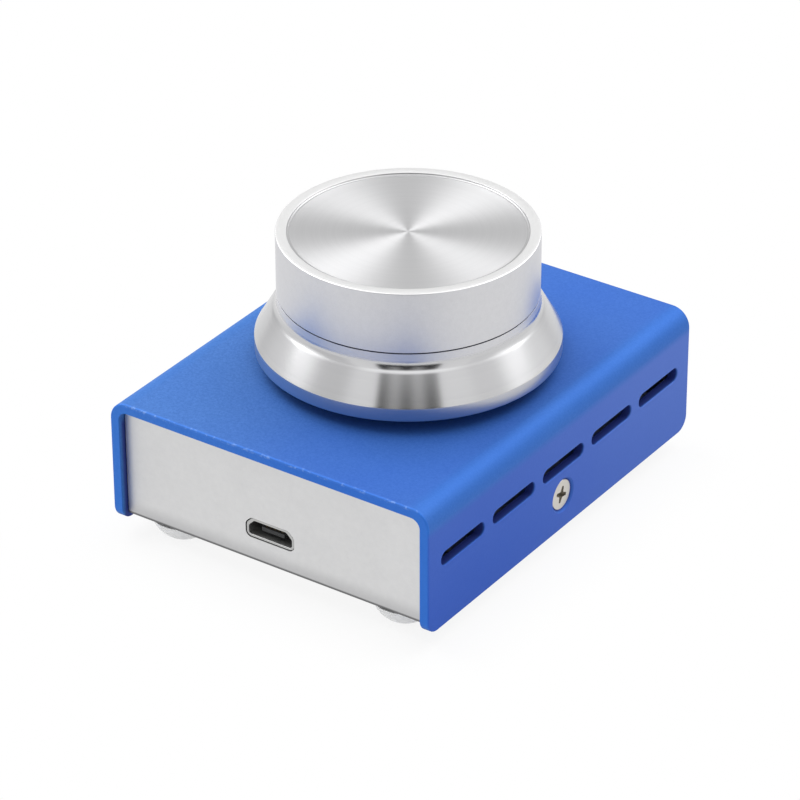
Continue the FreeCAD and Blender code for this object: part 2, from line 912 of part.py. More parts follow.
board = new_body("circuit_board")
blank = Drawing(board, "board_outline", "XY_Plane", out=board_bottom)
blank.rectangle(-board_half, board_half, -board_front, size.board_rear)
pad(board, "board_pad", blank, size.board_thickness)
dress(board, "Fillet", "board_corners", size.board_corner, lambda edge: line_along(edge, "z"))
drilling = Drawing(board, "board_drilling", "XY_Plane")
for x, y in standoff_places:
    drilling.circle(size.board_hole_radius, x, y)
pin_y = size.encoder_length / 2 + size.pin_reach - size.pin_thickness / 2
pin_places = [(column * size.pin_pitch, -pin_y, -1) for column in (-1, 0, 1)]
pin_places += [(column * size.pin_pitch, pin_y, 1) for column in (-1, 1)]
for x, y, way in pin_places:
    drilling.circle(size.pin_hole_radius, axis_x + x, axis_y + y)
leg_x = size.encoder_width / 2 + size.frame_sheet / 2
slot_in = leg_x - size.leg_slot_width / 2
slot_out = leg_x + size.leg_slot_width / 2
leg_half = size.leg_slot_length / 2
drilling.rectangle(axis_x + slot_in, axis_x + slot_out, axis_y - leg_half, axis_y + leg_half)
drilling.rectangle(axis_x - slot_out, axis_x - slot_in, axis_y - leg_half, axis_y + leg_half)
pocket(board, "board_holes", drilling)
keep(board, "circuit_board")


# Socket: a bright folded shell with two soldered flaps, hung under the board's front edge

shell = new_body("usb_shell")
section = Drawing(shell, "shell_section", "XZ_Plane", up=socket_z, out=socket_front)
socket_outline(section, size.socket_wall)
socket_outline(section, 0)
pad(shell, "shell_pad", section, size.socket_depth, Reversed=True)
lip = Drawing(shell, "lip_section", "XZ_Plane", up=socket_z, out=socket_front)
socket_outline(lip, lip_rise)
socket_outline(lip, size.socket_wall / 2)
pad(shell, "lip_pad", lip, size.socket_lip_depth, Reversed=True)


def at_mouth(edge):
    """Pick the inner outline of the socket's front end."""
    box = edge.BoundBox
    at_front = close(box.YMin, -socket_front.value) and close(box.YMax, -socket_front.value)
    inside = max(abs(box.XMin), abs(box.XMax)) < (size.socket_width + size.socket_wall).value / 2
    return at_front and inside and abs(box.Center.z - socket_z.value) < (
        size.socket_opening / 2 + size.socket_wall / 2
    ).value


dress(shell, "Chamfer", "mouth_flare", size.socket_flare, at_mouth)
shell_half = size.socket_width / 2 + size.socket_wall
flap_back = size.socket_depth - socket_front
flap_front = flap_back - size.socket_flap_length
flap_in = shell_half - 2 * size.socket_bevel
flap_out = shell_half + size.socket_flap_width
flaps = Drawing(shell, "flap_outlines", "XY_Plane", out=board_bottom)
flaps.rectangle(flap_in, flap_out, flap_front, flap_back)
flaps.rectangle(-flap_out, -flap_in, flap_front, flap_back)
pad(shell, "flap_pads", flaps, size.socket_wall, Reversed=True)
keep(put(shell, socket_x), "usb_shell")

tongue = new_body("usb_tongue")
block_back = socket_front - size.socket_depth
block = Drawing(tongue, "block_section", "XZ_Plane", up=socket_z, out=block_back)
socket_outline(block, -size.insulator_gap)
pad(tongue, "block_pad", block, size.insulator_depth)
block_front = block_back + size.insulator_depth
tongue_low = -size.tongue_drop
tongue_high = tongue_low + size.tongue_thickness
blade = Drawing(tongue, "blade_section", "XZ_Plane", up=socket_z, out=block_front)
blade.rectangle(-size.tongue_width / 2, size.tongue_width / 2, tongue_low, tongue_high)
pad(tongue, "blade_pad", blade, size.tongue_length)
contact_row = size.contact_pitch * (CONTACT_COUNT - 1)
channel_half = size.contact_width / 2 + size.channel_gap
channels = Drawing(tongue, "channel_section", "XZ_Plane", up=socket_z, out=block_front)
for number in range(CONTACT_COUNT):
    x = number * size.contact_pitch - contact_row / 2
    channels.rectangle(
        x - channel_half,
        x + channel_half,
        tongue_high,
        tongue_high + size.contact_thickness + size.channel_gap,
    )
pocket(tongue, "contact_channels", channels, size.insulator_depth + size.overrun)
keep(put(tongue, socket_x), "usb_tongue")

contacts = []
strip_front = block_front + size.tongue_length - size.contact_margin
strip_back = block_back - size.contact_thickness
for number in range(CONTACT_COUNT):
    x = number * size.contact_pitch - contact_row / 2 - size.contact_width / 2
    low = socket_z + tongue_high
    name = "usb_contact_%d" % (number + 1)
    strip = box(
        name + "_strip",
        (size.contact_width, strip_front - strip_back, size.contact_thickness),
        (x, -strip_front, low),
    )
    tail = box(
        name + "_tail",
        (size.contact_width, size.contact_thickness, board_bottom - low),
        (x, -block_back, low),
    )
    contacts.append(fuse(name, [strip, tail]))
keep(put(group("usb_contacts", contacts), socket_x), "usb_contacts")


# Controller: a moulded package with bevelled sides and ten leads a side

chip = new_body("controller_chip")
chip_x = CHIP_shares[0] * board_half
chip_y = CHIP_shares[1] * board_front
package = Drawing(chip, "package_outline", "XY_Plane")
package.rectangle(-size.chip_length / 2, size.chip_length / 2, -size.chip_width / 2, size.chip_width / 2)
pad(chip, "package_pad", package, size.chip_height - size.chip_lift)
chip_roof = size.chip_height - size.chip_lift
dress(chip, "Chamfer", "package_bevel", size.chip_bevel, at_level(chip_roof))
dot_x = 3 * size.chip_dot_radius - size.chip_length / 2
dot = Drawing(chip, "dot_outline", "XY_Plane", out=chip_roof)
dot.circle(size.chip_dot_radius, dot_x, 3 * size.chip_dot_radius - size.chip_width / 2)
pocket(chip, "pin_one_dot", dot, size.chip_dot_depth)
keep(put(chip, chip_x, chip_y, board_top + size.chip_lift), "controller_chip")

leads = []
lead_row = size.lead_pitch * (LEADS_PER_SIDE - 1)
lead_top = size.chip_height / 2 + size.lead_thickness / 2
for side in (1, -1):
    for number in range(LEADS_PER_SIDE):
        name = "lead_%s_%d" % ("rear" if side > 0 else "front", number + 1)
        body = new_body(name)
        bent = Drawing(body, name + "_outline", "YZ_Plane")
        root_y = size.chip_width / 2
        knee_y = root_y + size.lead_shoulder
        toe_y = root_y + size.lead_reach
        bent.outline(
            (side * root_y, lead_top - size.lead_thickness),
            (side * root_y, lead_top),
            (side * knee_y, lead_top),
            (side * knee_y, size.lead_thickness),
            (side * toe_y, size.lead_thickness),
            (side * toe_y, 0),
            (side * (knee_y - size.lead_thickness), 0),
            (side * (knee_y - size.lead_thickness), lead_top - size.lead_thickness),
        )
        pad(body, name + "_pad", bent, size.lead_width, SideType="Symmetric")
        lead_x = chip_x + number * size.lead_pitch - lead_row / 2
        leads.append(put(body, lead_x, chip_y, board_top))
keep(group("chip_leads", leads), "chip_leads")


# Crystal: a drawn steel can with rounded ends on a rolled rim

crystal = new_body("crystal_can")


def stadium(drawing, length, width):
    """Outline with straight sides and half-round ends."""
    straight = length / 2 - width / 2
    return drawing.outline(
        (-straight, -width / 2),
        (straight, -width / 2, (straight, 0, 1)),
        (straight, width / 2),
        (-straight, width / 2, (-straight, 0, 1)),
    )


rim = stadium(Drawing(crystal, "rim_outline", "XY_Plane"), size.crystal_length, size.crystal_width)
pad(crystal, "rim_pad", rim, size.crystal_rim_height)
can_length = size.crystal_length - 2 * size.crystal_rim
can_width = size.crystal_width - 2 * size.crystal_rim
can = stadium(Drawing(crystal, "crystal_outline", "XY_Plane"), can_length, can_width)
pad(crystal, "crystal_pad", can, size.crystal_height)
dress(crystal, "Fillet", "crystal_edge", size.crystal_rim, at_level(size.crystal_height))
crystal_x = CRYSTAL_shares[0] * board_half
crystal_y = CRYSTAL_shares[1] * board_front
keep(put(crystal, crystal_x, crystal_y, board_top), "crystal_can")


# Voltage regulator: a small moulded package with a wide tab behind and three leads in front

regulator = new_body("voltage_regulator")
plan = Drawing(regulator, "regulator_outline", "XY_Plane")
plan.rectangle(
    -size.regulator_length / 2,
    size.regulator_length / 2,
    -size.regulator_width / 2,
    size.regulator_width / 2,
)
pad(regulator, "regulator_pad", plan, size.regulator_height)
dress(regulator, "Chamfer", "regulator_edge", size.regulator_bevel, at_level(size.regulator_height))
regulator_x = REGULATOR_shares[0] * board_half
regulator_y = REGULATOR_shares[1] * size.board_rear
keep(put(regulator, regulator_x, regulator_y, board_top), "voltage_regulator")
tab_front = regulator_y + size.regulator_width / 2
lead_front = regulator_y - size.regulator_width / 2 - size.regulator_lead_length
regulator_metal = [
    box(
        "regulator_tab",
        (size.regulator_tab_width, size.regulator_lead_length, size.lead_thickness),
        (regulator_x - size.regulator_tab_width / 2, tab_front, board_top),
    )
]
for column in (-1, 0, 1):
    lead_left = regulator_x + column * size.regulator_lead_pitch - size.regulator_lead_width / 2
    regulator_metal.append(
        box(
            "regulator_lead_%d" % (column + 2),
            (size.regulator_lead_width, size.regulator_lead_length, size.lead_thickness),
            (lead_left, lead_front, board_top),
        )
    )
keep(group("regulator_leads", regulator_metal), "regulator_leads")


# Filter capacitor: a plain aluminium can crimped onto a moulded base with two cut corners

capacitor_base = new_body("capacitor_base")
base_half = size.can_base_width / 2
seat = Drawing(capacitor_base, "capacitor_base_outline", "XY_Plane")
seat.outline(
    (-base_half, -base_half),
    (base_half - size.can_base_corner, -base_half),
    (base_half, size.can_base_corner - base_half),
    (base_half, base_half - size.can_base_corner),
    (base_half - size.can_base_corner, base_half),
    (-base_half, base_half),
)
pad(capacitor_base, "capacitor_base_pad", seat, size.can_base_height)
can_x = CAN_shares[0] * board_half
can_y = CAN_shares[1] * size.board_rear
keep(put(capacitor_base, can_x, can_y, board_top), "capacitor_base")
capacitor_can = new_body("capacitor_can")
side_view = Drawing(capacitor_can, "capacitor_can_profile", "XZ_Plane")
side_view.outline(
    (0, 0),
    (size.can_radius - size.can_edge, 0),
    (size.can_radius, size.can_edge),
    (size.can_radius, size.can_height - size.can_edge),
    (size.can_radius - size.can_edge, size.can_height),
    (0, size.can_height),
)
turned(capacitor_can, "capacitor_can_turned", side_view)
keep(put(capacitor_can, can_x, can_y, board_top + size.can_base_height), "capacitor_can")


# Chip capacitors in a row along the left edge, chip resistors along the right edge


def chip_row(label, share, height):
    row_length = size.chip_part_pitch * (CHIP_PARTS_PER_ROW - 1) + size.chip_part_width
    pieces = []
    for number in range(CHIP_PARTS_PER_ROW):
        x = share * board_half - size.chip_part_length / 2
        y = number * size.chip_part_pitch - row_length / 2
        name = "%s_%d" % (label, number + 1)
        lengths = (size.chip_part_length, size.chip_part_width, height)
        pieces.append(box(name, lengths, (x, y, board_top)))
    keep(group(label, pieces), label)


chip_row("chip_capacitors", CAPACITOR_ROW_share, size.capacitor_height)
chip_row("chip_resistors", RESISTOR_ROW_share, size.resistor_height)


# Encoder base: a moulded block with a round well for the push switch and a bay for the wipers

base = new_body("encoder_base")
half_x = size.encoder_width / 2
half_y = size.encoder_length / 2
base_plan = Drawing(base, "encoder_base_outline", "XY_Plane", out=board_top)
base_plan.rectangle(-half_x, half_x, -half_y, half_y)
pad(base, "encoder_base_pad", base_plan, size.encoder_base_height)
well = Drawing(base, "well_outline", "XY_Plane", out=encoder_base_top).circle(size.encoder_well_radius)
pocket(base, "switch_well", well, size.encoder_base_height - size.encoder_well_floor)
bay_back = -size.encoder_well_radius - size.seat_gap
bay = Drawing(base, "bay_outline", "XY_Plane", out=encoder_base_top)
bay.rectangle(
    -size.wiper_bay_length / 2,
    size.wiper_bay_length / 2,
    bay_back - size.wiper_bay_width,
    bay_back,
)
pocket(base, "wiper_bay", bay, size.wiper_bay_depth)
keep(put(base, axis_x, axis_y), "encoder_base")

wipers = []
bay_floor = encoder_base_top - size.wiper_bay_depth
wiper_row = bay_back - size.wiper_bay_width / 2
for column in (-1, 0, 1):
    name = "wiper_%d" % (column + 2)
    y = wiper_row + column * size.wiper_pitch - size.wiper_width / 2
    leaf = box(
        name + "_leaf",
        (size.wiper_length, size.wiper_width, size.wiper_thickness),
        (-size.wiper_length / 2, y, bay_floor),
    )
    nib = box(
        name + "_nib",
        (size.wiper_width, size.wiper_width, size.wiper_bay_depth),
        (-size.wiper_width / 2, y, bay_floor),
    )
    wipers.append(fuse(name, [leaf, nib]))
keep(put(group("contact_wipers", wipers), axis_x, axis_y), "contact_wipers")


# Encoder pins: flat stubs out of the base, bent down through the board

pins = []
for number, (x, y, way) in enumerate(pin_places, start=1):
    name = "encoder_pin_%d" % number
    stub_y = half_y if way > 0 else -half_y - size.pin_reach
    stub = box(
        name + "_stub",
        (size.pin_width, size.pin_reach, size.pin_thickness),
        (x - size.pin_width / 2, stub_y, board_top + size.pin_height),
    )
    drop_y = half_y + size.pin_reach - size.pin_thickness if way > 0 else -half_y - size.pin_reach
    drop = box(
        name + "_drop",
        (size.pin_width, size.pin_thickness, size.board_thickness + size.pin_tail + size.pin_height),
        (x - size.pin_width / 2, drop_y, board_bottom - size.pin_tail),
    )
    pins.append(fuse(name, [stub, drop]))
keep(put(group("encoder_pins", pins), axis_x, axis_y), "encoder_pins")


# Push switch: two plates in the well and a snap dome that the shaft presses flat

plates = [
    cylinder("centre_plate", size.centre_plate_radius, size.plate_thickness, (0, 0, well_floor)),
    tube(
        "ring_plate",
        size.dome_radius + size.ring_plate_width / 2,
        size.dome_radius - size.ring_plate_width / 2,
        size.plate_thickness,
        (0, 0, well_floor),
    ),
]
keep(put(group("switch_contacts", plates), axis_x, axis_y), "switch_contacts")

dome = new_body("switch_dome")
dome_curve = (size.dome_radius * size.dome_radius + size.dome_height * size.dome_height) / (
    2 * size.dome_height
)
dome_middle = size.dome_height - dome_curve
inner_curve = dome_curve - size.dome_thickness
inner_edge = root(inner_curve * inner_curve - dome_middle * dome_middle)
cap = Drawing(dome, "dome_profile", "XZ_Plane", up=plate_top)
cap.outline(
    (0, size.dome_height, (0, dome_middle, -1)),
    (size.dome_radius, 0),
    (inner_edge, 0, (0, dome_middle, 1)),
    (0, size.dome_height - size.dome_thickness),
)
turned(dome, "dome_turned", cap)
keep(put(dome, axis_x, axis_y), "switch_dome")


# Encoder housing: a die-cast block with the threaded bushing and the chamber for the code wheel

housing = new_body("encoder_housing")
housing_plan = Drawing(housing, "housing_outline", "XY_Plane", out=encoder_base_top)
housing_plan.rectangle(-half_x, half_x, -half_y, half_y)
pad(housing, "housing_pad", housing_plan, frame_bottom - encoder_base_top)
stem = Drawing(housing, "bushing_outline", "XY_Plane", out=encoder_base_top).circle(bushing_radius)
pad(housing, "bushing_pad", stem, bushing_top - encoder_base_top)
dress(housing, "Chamfer", "bushing_edge", size.bushing_edge, at_level(bushing_top))
chamber = Drawing(housing, "chamber_outline", "XY_Plane", out=encoder_base_top - size.overrun)
chamber.circle(housing_bore)
pocket(
    housing,
    "wheel_chamber",
    chamber,
    housing_ceiling - encoder_base_top + size.overrun,
    Reversed=True,
)
bearing = Drawing(housing, "bearing_outline", "XY_Plane").circle(size.shaft_radius + size.shaft_gap)
pocket(housing, "shaft_bearing", bearing)
keep(put(housing, axis_x, axis_y), "encoder_housing")


# Steel frame over the housing, with two legs soldered through the board

frame = new_body("encoder_frame")
frame_plan = Drawing(frame, "frame_outline", "XY_Plane", out=frame_bottom)
frame_plan.rectangle(-half_x, half_x, -half_y, half_y)
pad(frame, "frame_pad", frame_plan, size.frame_sheet)
leg_out = half_x + size.frame_sheet
legs = Drawing(frame, "leg_outlines", "XY_Plane", out=encoder_face)
legs.rectangle(half_x, leg_out, -size.frame_leg_width / 2, size.frame_leg_width / 2)
legs.rectangle(-leg_out, -half_x, -size.frame_leg_width / 2, size.frame_leg_width / 2)
pad(frame, "leg_pads", legs, encoder_face - board_bottom + size.pin_tail, Reversed=True)
collar = Drawing(frame, "collar_outline", "XY_Plane").circle(bushing_radius + size.bushing_gap)
pocket(frame, "frame_hole", collar)
keep(put(frame, axis_x, axis_y), "encoder_frame")


# Code wheel: turns with the shaft; notches on its rim give the clicks

wheel = new_body("encoder_rotor")
wheel_bottom = encoder_base_top + size.wheel_play
wheel_profile = Drawing(wheel, "wheel_profile", "XZ_Plane", up=wheel_bottom)
wheel_top = size.wheel_height + size.wheel_track_height
wheel_profile.outline(
    (0, 0),
    (wheel_radius, 0),
    (wheel_radius, wheel_top),
    (track_in, wheel_top),
    (track_in, size.wheel_height),
    (0, size.wheel_height),
)
turned(wheel, "wheel_turned", wheel_profile)
drive_radius = size.shaft_radius + size.seat_gap
drive_in = size.shaft_radius - size.shaft_drive_flat
drive_half = drive_in + size.seat_gap
drive_reach = root(drive_radius * drive_radius - drive_half * drive_half)
keyway = Drawing(wheel, "keyway_outline", "XY_Plane")
keyway.outline(
    (-drive_reach, -drive_half),
    (drive_reach, -drive_half, (0, 0, 1)),
    (drive_reach, drive_half),
    (-drive_reach, drive_half, (0, 0, 1)),
)
pocket(wheel, "keyway", keyway)
notch = Drawing(wheel, "notch_outline", "XY_Plane", out=wheel_bottom + wheel_top)
notch.rectangle(
    track_in - size.wheel_notch_width / 2,
    wheel_radius + size.overrun,
    -size.wheel_notch_width / 2,
    size.wheel_notch_width / 2,
)
first_notch = pocket(wheel, "first_notch", notch, size.wheel_notch_depth)
notches = wheel.newObject("PartDesign::PolarPattern", "notches")
notches.Originals = [first_notch]
notches.Axis = ([item for item in wheel.Origin.OriginFeatures if item.Role == "Z_Axis"][0], [""])
notches.Angle = FULL_TURN
notches.Occurrences = DETENT_COUNT
wheel.Tip = notches
keep(put(wheel, axis_x, axis_y), "encoder_rotor")


# Detent spring: a flat ring under the housing's roof with two bumps just over the notches

detent_out = housing_bore - size.seat_gap
spring_low = housing_ceiling - size.detent_thickness
ring = tube(
    "detent_ring",
    detent_out,
    detent_out - size.detent_width,
    size.detent_thickness,
    (0, 0, spring_low),
)
bump_low = wheel_bottom + wheel_top + size.detent_clearance
bump_y = detent_out - size.detent_width / 2
bumps = []
for side in (1, -1):
    bump = doc.addObject("Part::Cone", "detent_bump_%s" % ("rear" if side > 0 else "front"))
    bind(bump, "Radius1", size.detent_bump_tip)
    bind(bump, "Radius2", size.detent_bump_radius)
    bind(bump, "Height", spring_low - bump_low)
    bumps.append(put(bump, 0, side * bump_y, bump_low))
keep(put(fuse("detent_spring", [ring] + bumps), axis_x, axis_y), "detent_spring")


# Shaft: round in the bushing, flat-sided in the code wheel, and flattened for the knob

shaft = new_body("encoder_shaft")
groove_low = housing_ceiling - size.ring_thickness - 2 * size.ring_play
groove_radius = size.shaft_radius - size.ring_groove_depth
rod = Drawing(shaft, "shaft_profile", "XZ_Plane")
rod.outline(
    (0, shaft_bottom),
    (size.shaft_radius, shaft_bottom),
    (size.shaft_radius, groove_low),
    (groove_radius, groove_low),
    (groove_radius, housing_ceiling),
    (size.shaft_radius, housing_ceiling),
    (size.shaft_radius, shaft_top - size.shaft_edge),
    (size.shaft_radius - size.shaft_edge, shaft_top),
    (0, shaft_top),
)
turned(shaft, "shaft_turned", rod)
flat_x = size.shaft_radius - size.shaft_flat
flat = Drawing(shaft, "flat_outline", "XY_Plane", out=shaft_top + size.overrun)
flat.rectangle(
    flat_x,
    size.shaft_radius + size.overrun,
    -size.shaft_radius - size.overrun,
    size.shaft_radius + size.overrun,
)
pocket(shaft, "knob_flat", flat, size.shaft_flat_length + size.overrun)
drive = Drawing(shaft, "drive_outline", "XY_Plane", out=groove_low)
drive_out = size.shaft_radius + size.overrun
drive.rectangle(-drive_out, drive_out, drive_in, drive_out)
drive.rectangle(-drive_out, drive_out, -drive_out, -drive_in)
pocket(shaft, "drive_flats", drive, groove_low - shaft_bottom + size.overrun)
keep(put(shaft, axis_x, axis_y), "encoder_shaft")

ring_high = housing_ceiling - size.ring_play
ring_radius = track_in - size.ring_clearance
whole_ring = tube(
    "retaining_blank",
    ring_radius,
    groove_radius + size.seat_gap,
    size.ring_thickness,
    (0, 0, ring_high - size.ring_thickness),
)
mouth_block = box(
    "retaining_mouth",
    (ring_radius + size.overrun, size.ring_mouth, size.ring_thickness + 2 * size.overrun),
    (0, -size.ring_mouth / 2, ring_high - size.ring_thickness - size.overrun),
)
keep(put(cut("retaining_ring", whole_ring, mouth_block), axis_x, axis_y), "retaining_ring")


# Spacer, washer and hexagon nut that clamp the bushing in the cover

clamp_bore = bushing_radius + size.bushing_gap
spacer_place = (axis_x, axis_y, encoder_face)
spacer = tube("encoder_spacer", half_x, clamp_bore, size.spacer_thickness, spacer_place)
keep(spacer, "encoder_spacer")
washer_radius = nut_corner + size.washer_rim
washer_place = (axis_x, axis_y, cover_top)
washer = tube("encoder_washer", washer_radius, clamp_bore, size.washer_thickness, washer_place)
keep(washer, "encoder_washer")

nut = new_body("encoder_nut")
nut_bottom = cover_top + size.washer_thickness
corners = []
for number in range(NUT_SIDES):
    angle = 2 * math.pi * number / NUT_SIDES
    corners.append((nut_corner * math.cos(angle), nut_corner * math.sin(angle)))
hexagon = Drawing(nut, "nut_outline", "XY_Plane", out=nut_bottom)
hexagon.outline(*corners)
hexagon.circle(clamp_bore)
pad(nut, "nut_pad", hexagon, size.nut_height)
bevel_in = nut_width / 2
bevel_out = nut_corner + size.overrun
bevel = Drawing(nut, "nut_bevel", "XZ_Plane", up=nut_bottom + size.nut_height)
bevel.outline(
    (bevel_in, 0),
    (bevel_out, (bevel_in - bevel_out) * math.tan(math.pi / 6)),
    (bevel_out, size.overrun),
    (bevel_in, size.overrun),
)
removal(nut, "Groove", "nut_corners", bevel, ReferenceAxis=(bevel.sketch, ["V_Axis"]))
keep(put(nut, axis_x, axis_y), "encoder_nut")


# Knob: turned from solid bar, with a band and cone at its foot, a hollow under the cylinder,
# a fine scribed line and a shallow dish inside a narrow rim

knob = new_body("knob_body")
insert_bottom = knob_recess_top - knob_bottom
insert_length = shaft_top + size.insert_cap - knob_recess_top
insert_bore_top = insert_bottom + insert_length + size.insert_room
bar = Drawing(knob, "knob_profile", "XZ_Plane", up=knob_bottom)
knob_foot = size.knob_radius + size.knob_flare
knob_cone = size.knob_radius + size.knob_step
recess_radius = nut_corner + size.knob_recess_gap
shoulder_z = size.knob_cone_height + size.knob_step
hollow_z = shoulder_z + size.knob_hollow * HALF_BEND
hollow_x = size.knob_radius + size.knob_hollow
rim_x = size.knob_radius - size.knob_rim_edge
rim_z = size.knob_height - size.knob_rim_edge
foot_edge_x = knob_foot - size.knob_rim_edge
line_low = size.knob_line_height - size.knob_line_width / 2
line_high = size.knob_line_height + size.knob_line_width / 2
line_x = size.knob_radius - size.knob_line_depth
dish_radius = size.knob_radius - size.knob_rim_width
dish_edge = size.knob_height - size.knob_lip
dish_curve = (dish_radius * dish_radius + size.dish_depth * size.dish_depth) / (2 * size.dish_depth)
insert_radius = size.shaft_radius + size.insert_wall
insert_socket = insert_radius + size.insert_gap
bar.outline(
    (0, insert_bore_top),
    (insert_socket, insert_bore_top),
    (insert_socket, insert_bottom),
    (recess_radius, insert_bottom),
    (recess_radius, 0),
    (foot_edge_x, 0, (foot_edge_x, size.knob_rim_edge, 1)),
    (knob_foot, size.knob_rim_edge),
    (knob_foot, size.knob_band_height),
    (knob_cone, size.knob_cone_height),
    (
        hollow_x - size.knob_hollow * DIAGONAL,
        hollow_z - size.knob_hollow * DIAGONAL,
        (hollow_x, hollow_z, -1),
    ),
    (size.knob_radius, hollow_z),
    (size.knob_radius, line_low),
    (line_x, line_low),
    (line_x, line_high),
    (size.knob_radius, line_high),
    (size.knob_radius, rim_z, (rim_x, rim_z, 1)),
    (rim_x, size.knob_height),
    (dish_radius + size.knob_lip, size.knob_height),
    (dish_radius, dish_edge, (0, dish_edge - size.dish_depth + dish_curve, -1)),
    (0, dish_edge - size.dish_depth),
)
turned(knob, "knob_turned", bar)
keep(put(knob, axis_x, axis_y), "knob_body")

insert = new_body("knob_insert")
insert_profile = Drawing(insert, "insert_profile", "XZ_Plane", up=knob_recess_top)
neck = insert_radius - size.insert_neck
third = insert_length / 3
insert_profile.outline(
    (0, 0),
    (insert_radius, 0),
    (insert_radius, third),
    (neck, third + size.insert_neck),
    (neck, 2 * third - size.insert_neck),
    (insert_radius, 2 * third),
    (insert_radius, insert_length - size.insert_neck),
    (neck, insert_length),
    (0, insert_length),
)
turned(insert, "insert_turned", insert_profile)
bore_radius = size.shaft_radius + size.shaft_gap
bore_flat = flat_x + size.shaft_gap
bore_half = root(bore_radius * bore_radius - bore_flat * bore_flat)
key_bore = Drawing(insert, "key_bore_outline", "XY_Plane")
key_bore.outline((bore_flat, -bore_half), (bore_flat, bore_half, (0, 0, 1)))
pocket(insert, "key_bore", key_bore)
keep(put(insert, axis_x, axis_y), "knob_insert")


# Every object is checked before any piece is written

doc.recompute()
for item in doc.Objects:
    if "Invalid" in item.State or "Error" in item.State:
        raise ValueError("%s did not compute: %s" % (item.Label, item.State))
for piece in nodes:
    if piece.Shape.isNull() or not piece.Shape.isValid() or not piece.Shape.Solids:
        raise ValueError("%s has no valid shape" % piece.Label)
for piece in nodes:
    piece.Shape.exportStep(os.path.join("parts", piece.Label + ".step"))
    solids = piece.Shape.Solids
    print("%-20s %2d solids %10.3f mm3" % (piece.Label, len(solids), piece.Shape.Volume))
print("%d nodes" % len(nodes))
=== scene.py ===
import math

import bpy
from mathutils import Matrix, Vector


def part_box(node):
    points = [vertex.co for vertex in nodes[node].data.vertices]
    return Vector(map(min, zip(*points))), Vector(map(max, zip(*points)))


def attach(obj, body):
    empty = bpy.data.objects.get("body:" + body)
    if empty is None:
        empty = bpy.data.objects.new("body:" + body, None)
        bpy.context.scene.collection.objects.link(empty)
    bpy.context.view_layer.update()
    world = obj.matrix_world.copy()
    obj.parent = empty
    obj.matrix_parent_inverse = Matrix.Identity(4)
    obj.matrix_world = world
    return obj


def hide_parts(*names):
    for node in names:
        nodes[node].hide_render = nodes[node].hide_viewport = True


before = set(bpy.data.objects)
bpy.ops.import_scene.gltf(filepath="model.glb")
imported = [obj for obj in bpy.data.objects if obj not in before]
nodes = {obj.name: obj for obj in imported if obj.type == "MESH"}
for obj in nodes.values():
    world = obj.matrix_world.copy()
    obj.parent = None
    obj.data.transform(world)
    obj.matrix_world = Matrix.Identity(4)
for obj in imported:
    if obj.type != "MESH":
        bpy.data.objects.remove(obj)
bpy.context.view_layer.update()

# Chassis: a tray folded from fine-brushed aluminium sheet, with a panel at each end and a
# flange along each side. The board, the nuts and the feet are fixed to it.

MILLIMETRE = 0.001


class Value:
    """One socket of a finish's nodes. Sums written on it become Math nodes."""

    def __init__(self, finish, socket):
        self.finish = finish
        self.socket = socket

    def __add__(self, other):
        return self.finish.maths("ADD", self, other)

    def __sub__(self, other):
        return self.finish.maths("SUBTRACT", self, other)

    def __rsub__(self, other):
        return self.finish.maths("SUBTRACT", other, self)

    def __mul__(self, other):
        return self.finish.maths("MULTIPLY", self, other)

    def __pow__(self, other):
        return self.finish.maths("POWER", self, other)

    def __abs__(self):
        return self.finish.maths("ABSOLUTE", self)

    __radd__ = __add__
    __rmul__ = __mul__


